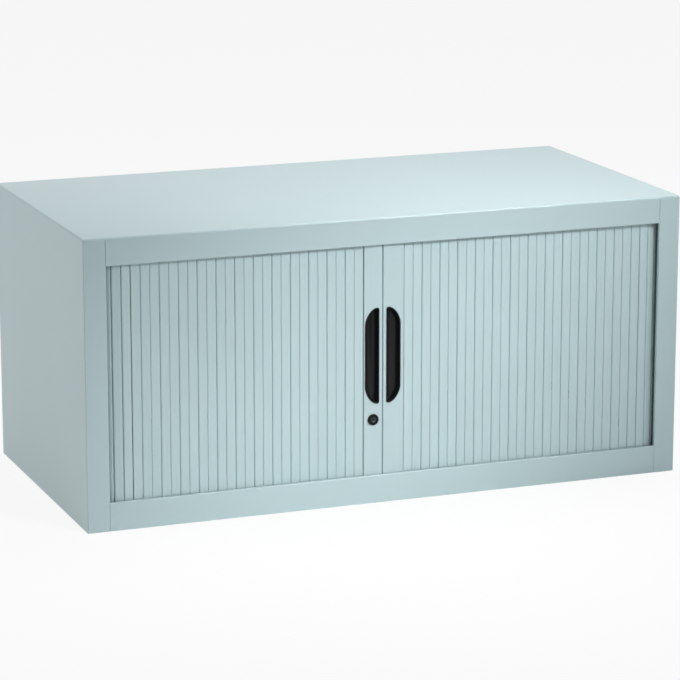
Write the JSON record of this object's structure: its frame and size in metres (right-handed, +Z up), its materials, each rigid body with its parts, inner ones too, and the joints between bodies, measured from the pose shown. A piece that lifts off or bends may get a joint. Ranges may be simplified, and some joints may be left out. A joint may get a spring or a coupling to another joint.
{
  "type": "roll front cabinet",
  "caption": "Low wide steel cabinet whose front closes with two side-sliding curtains of upright slats, with finger cups and a lock.",
  "frame": {"origin": "middle of the footprint, on the surface that the cabinet stands on", "axes": "+X to the viewer's right, the front faces -Y, +Z up"},
  "size_m": [1, 0.5, 0.46],
  "materials": {
    "carcass_enamel": "satin",
    "slat_enamel": "satin",
    "track_plastic": "matte",
    "stop_rubber": "matte",
    "black_plastic": "satin",
    "lock_black": "gloss",
    "lock_steel": "satin",
    "zinc_screws": "satin"
  },
  "bodies": {
    "carcass": {"left_side_panel": "carcass_enamel", "right_side_panel": "carcass_enamel", "top_panel": "carcass_enamel", "ceiling_panel": "carcass_enamel", "base_panel": "carcass_enamel", "back_panel": "carcass_enamel", "top_rail": "carcass_enamel", "bottom_rail": "carcass_enamel", "back_panel_screws": "zinc_screws", "floor_plugs": "black_plastic", "lower_left_track": "track_plastic", "lower_right_track": "track_plastic", "upper_left_track": "track_plastic", "upper_right_track": "track_plastic", "track_end_stops": "stop_rubber", "left_corner_slats": "slat_enamel", "right_corner_slats": "slat_enamel"},
    "left_door": {"left_lead_stile": "slat_enamel", "left_carried_slat": "slat_enamel", "left_handle_cup": "black_plastic", "left_glides": "track_plastic", "lock_housing": "lock_black", "lock_nut": "lock_steel"},
    "right_door": {"right_lead_stile": "slat_enamel", "right_carried_slat": "slat_enamel", "right_handle_cup": "black_plastic", "right_glides": "track_plastic", "strike_plate": "lock_steel"},
    "lock": {"lock_plug": "lock_black", "lock_cam": "lock_steel", "cam_screw": "zinc_screws"},
    "left_slats_01": {"left_slats_01": "slat_enamel"},
    "left_slats_02": {"left_slats_02": "slat_enamel"},
    "left_slats_03": {"left_slats_03": "slat_enamel"},
    "left_slats_04": {"left_slats_04": "slat_enamel"},
    "left_slats_05": {"left_slats_05": "slat_enamel"},
    "left_slats_06": {"left_slats_06": "slat_enamel"},
    "left_slats_07": {"left_slats_07": "slat_enamel"},
    "left_slats_08": {"left_slats_08": "slat_enamel"},
    "left_slats_09": {"left_slats_09": "slat_enamel"},
    "left_slats_10": {"left_slats_10": "slat_enamel"},
    "left_slats_11": {"left_slats_11": "slat_enamel"},
    "left_slats_12": {"left_slats_12": "slat_enamel"},
    "right_slats_01": {"right_slats_01": "slat_enamel"},
    "right_slats_02": {"right_slats_02": "slat_enamel"},
    "right_slats_03": {"right_slats_03": "slat_enamel"},
    "right_slats_04": {"right_slats_04": "slat_enamel"},
    "right_slats_05": {"right_slats_05": "slat_enamel"},
    "right_slats_06": {"right_slats_06": "slat_enamel"},
    "right_slats_07": {"right_slats_07": "slat_enamel"},
    "right_slats_08": {"right_slats_08": "slat_enamel"},
    "right_slats_09": {"right_slats_09": "slat_enamel"},
    "right_slats_10": {"right_slats_10": "slat_enamel"},
    "right_slats_11": {"right_slats_11": "slat_enamel"},
    "right_slats_12": {"right_slats_12": "slat_enamel"},
    "right_slats_13": {"right_slats_13": "slat_enamel"}
  },
  "joints": [
    {"name": "left_door_slide", "type": "slide", "parent": "carcass", "child": "left_door", "axis": [-1, 0, 0], "range_m": [0, 0.3636], "deforming": ["left_corner_slats"]},
    {"name": "right_door_slide", "type": "slide", "parent": "carcass", "child": "right_door", "axis": [1, 0, 0], "range_m": [0, 0.3939], "deforming": ["right_corner_slats"]},
    {"name": "lock_turn", "type": "hinge", "parent": "left_door", "child": "lock", "pos_m": [-0.02855, -0.2218, 0.135], "axis": [0, 1, 0], "range_deg": [0, 90]},
    {"name": "left_slats_01_turn", "type": "hinge", "parent": "carcass", "child": "left_slats_01", "pos_m": [-0.40909, -0.16159, 0.2305], "axis": [0, 0, -1], "range_deg": [0, 90], "deforming": ["left_corner_slats"]},
    {"name": "left_slats_02_turn", "type": "hinge", "parent": "carcass", "child": "left_slats_02", "pos_m": [-0.37879, -0.13129, 0.2305], "axis": [0, 0, -1], "range_deg": [0, 90], "deforming": ["left_corner_slats"]},
    {"name": "left_slats_03_turn", "type": "hinge", "parent": "carcass", "child": "left_slats_03", "pos_m": [-0.34849, -0.10099, 0.2305], "axis": [0, 0, -1], "range_deg": [0, 90], "deforming": ["left_corner_slats"]},
    {"name": "left_slats_04_turn", "type": "hinge", "parent": "carcass", "child": "left_slats_04", "pos_m": [-0.31819, -0.07069, 0.2305], "axis": [0, 0, -1], "range_deg": [0, 90], "deforming": ["left_corner_slats"]},
    {"name": "left_slats_05_turn", "type": "hinge", "parent": "carcass", "child": "left_slats_05", "pos_m": [-0.28789, -0.04039, 0.2305], "axis": [0, 0, -1], "range_deg": [0, 90], "deforming": ["left_corner_slats"]},
    {"name": "left_slats_06_turn", "type": "hinge", "parent": "carcass", "child": "left_slats_06", "pos_m": [-0.25759, -0.01009, 0.2305], "axis": [0, 0, -1], "range_deg": [0, 90], "deforming": ["left_corner_slats"]},
    {"name": "left_slats_07_turn", "type": "hinge", "parent": "carcass", "child": "left_slats_07", "pos_m": [-0.22729, 0.02021, 0.2305], "axis": [0, 0, -1], "range_deg": [0, 90], "deforming": ["left_corner_slats"]},
    {"name": "left_slats_08_turn", "type": "hinge", "parent": "carcass", "child": "left_slats_08", "pos_m": [-0.19699, 0.05051, 0.2305], "axis": [0, 0, -1], "range_deg": [0, 90], "deforming": ["left_corner_slats"]},
    {"name": "left_slats_09_turn", "type": "hinge", "parent": "carcass", "child": "left_slats_09", "pos_m": [-0.16669, 0.08081, 0.2305], "axis": [0, 0, -1], "range_deg": [0, 90], "deforming": ["left_corner_slats"]},
    {"name": "left_slats_10_turn", "type": "hinge", "parent": "carcass", "child": "left_slats_10", "pos_m": [-0.13639, 0.11111, 0.2305], "axis": [0, 0, -1], "range_deg": [0, 90], "deforming": ["left_corner_slats"]},
    {"name": "left_slats_11_turn", "type": "hinge", "parent": "carcass", "child": "left_slats_11", "pos_m": [-0.10609, 0.14141, 0.2305], "axis": [0, 0, -1], "range_deg": [0, 90], "deforming": ["left_corner_slats"]},
    {"name": "left_slats_12_turn", "type": "hinge", "parent": "carcass", "child": "left_slats_12", "pos_m": [-0.07579, 0.17171, 0.2305], "axis": [0, 0, -1], "range_deg": [0, 90], "deforming": ["left_corner_slats"]},
    {"name": "right_slats_01_turn", "type": "hinge", "parent": "carcass", "child": "right_slats_01", "pos_m": [0.41667, -0.16917, 0.2305], "axis": [0, 0, 1], "range_deg": [0, 90], "deforming": ["right_corner_slats"]},
    {"name": "right_slats_02_turn", "type": "hinge", "parent": "carcass", "child": "right_slats_02", "pos_m": [0.38637, -0.13887, 0.2305], "axis": [0, 0, 1], "range_deg": [0, 90], "deforming": ["right_corner_slats"]},
    {"name": "right_slats_03_turn", "type": "hinge", "parent": "carcass", "child": "right_slats_03", "pos_m": [0.35607, -0.10857, 0.2305], "axis": [0, 0, 1], "range_deg": [0, 90], "deforming": ["right_corner_slats"]},
    {"name": "right_slats_04_turn", "type": "hinge", "parent": "carcass", "child": "right_slats_04", "pos_m": [0.32577, -0.07827, 0.2305], "axis": [0, 0, 1], "range_deg": [0, 90], "deforming": ["right_corner_slats"]},
    {"name": "right_slats_05_turn", "type": "hinge", "parent": "carcass", "child": "right_slats_05", "pos_m": [0.29547, -0.04797, 0.2305], "axis": [0, 0, 1], "range_deg": [0, 90], "deforming": ["right_corner_slats"]},
    {"name": "right_slats_06_turn", "type": "hinge", "parent": "carcass", "child": "right_slats_06", "pos_m": [0.26517, -0.01767, 0.2305], "axis": [0, 0, 1], "range_deg": [0, 90], "deforming": ["right_corner_slats"]},
    {"name": "right_slats_07_turn", "type": "hinge", "parent": "carcass", "child": "right_slats_07", "pos_m": [0.23487, 0.01263, 0.2305], "axis": [0, 0, 1], "range_deg": [0, 90], "deforming": ["right_corner_slats"]},
    {"name": "right_slats_08_turn", "type": "hinge", "parent": "carcass", "child": "right_slats_08", "pos_m": [0.20457, 0.04293, 0.2305], "axis": [0, 0, 1], "range_deg": [0, 90], "deforming": ["right_corner_slats"]},
    {"name": "right_slats_09_turn", "type": "hinge", "parent": "carcass", "child": "right_slats_09", "pos_m": [0.17427, 0.07323, 0.2305], "axis": [0, 0, 1], "range_deg": [0, 90], "deforming": ["right_corner_slats"]},
    {"name": "right_slats_10_turn", "type": "hinge", "parent": "carcass", "child": "right_slats_10", "pos_m": [0.14397, 0.10353, 0.2305], "axis": [0, 0, 1], "range_deg": [0, 90], "deforming": ["right_corner_slats"]},
    {"name": "right_slats_11_turn", "type": "hinge", "parent": "carcass", "child": "right_slats_11", "pos_m": [0.11367, 0.13383, 0.2305], "axis": [0, 0, 1], "range_deg": [0, 90], "deforming": ["right_corner_slats"]},
    {"name": "right_slats_12_turn", "type": "hinge", "parent": "carcass", "child": "right_slats_12", "pos_m": [0.08337, 0.16413, 0.2305], "axis": [0, 0, 1], "range_deg": [0, 90], "deforming": ["right_corner_slats"]},
    {"name": "right_slats_13_turn", "type": "hinge", "parent": "carcass", "child": "right_slats_13", "pos_m": [0.05307, 0.19443, 0.2305], "axis": [0, 0, 1], "range_deg": [0, 90], "deforming": ["right_corner_slats"]}
  ],
  "couplings": [
    {"joint": "left_slats_01_turn", "follows": "left_door_slide", "rad_per_m": 4.3201},
    {"joint": "left_slats_02_turn", "follows": "left_door_slide", "rad_per_m": 4.3201},
    {"joint": "left_slats_03_turn", "follows": "left_door_slide", "rad_per_m": 4.3201},
    {"joint": "left_slats_04_turn", "follows": "left_door_slide", "rad_per_m": 4.3201},
    {"joint": "left_slats_05_turn", "follows": "left_door_slide", "rad_per_m": 4.3201},
    {"joint": "left_slats_06_turn", "follows": "left_door_slide", "rad_per_m": 4.3201},
    {"joint": "left_slats_07_turn", "follows": "left_door_slide", "rad_per_m": 4.3201},
    {"joint": "left_slats_08_turn", "follows": "left_door_slide", "rad_per_m": 4.3201},
    {"joint": "left_slats_09_turn", "follows": "left_door_slide", "rad_per_m": 4.3201},
    {"joint": "left_slats_10_turn", "follows": "left_door_slide", "rad_per_m": 4.3201},
    {"joint": "left_slats_11_turn", "follows": "left_door_slide", "rad_per_m": 4.3201},
    {"joint": "left_slats_12_turn", "follows": "left_door_slide", "rad_per_m": 4.3201},
    {"joint": "right_slats_01_turn", "follows": "right_door_slide", "rad_per_m": 3.9878},
    {"joint": "right_slats_02_turn", "follows": "right_door_slide", "rad_per_m": 3.9878},
    {"joint": "right_slats_03_turn", "follows": "right_door_slide", "rad_per_m": 3.9878},
    {"joint": "right_slats_04_turn", "follows": "right_door_slide", "rad_per_m": 3.9878},
    {"joint": "right_slats_05_turn", "follows": "right_door_slide", "rad_per_m": 3.9878},
    {"joint": "right_slats_06_turn", "follows": "right_door_slide", "rad_per_m": 3.9878},
    {"joint": "right_slats_07_turn", "follows": "right_door_slide", "rad_per_m": 3.9878},
    {"joint": "right_slats_08_turn", "follows": "right_door_slide", "rad_per_m": 3.9878},
    {"joint": "right_slats_09_turn", "follows": "right_door_slide", "rad_per_m": 3.9878},
    {"joint": "right_slats_10_turn", "follows": "right_door_slide", "rad_per_m": 3.9878},
    {"joint": "right_slats_11_turn", "follows": "right_door_slide", "rad_per_m": 3.9878},
    {"joint": "right_slats_12_turn", "follows": "right_door_slide", "rad_per_m": 3.9878},
    {"joint": "right_slats_13_turn", "follows": "right_door_slide", "rad_per_m": 3.9878}
  ]
}
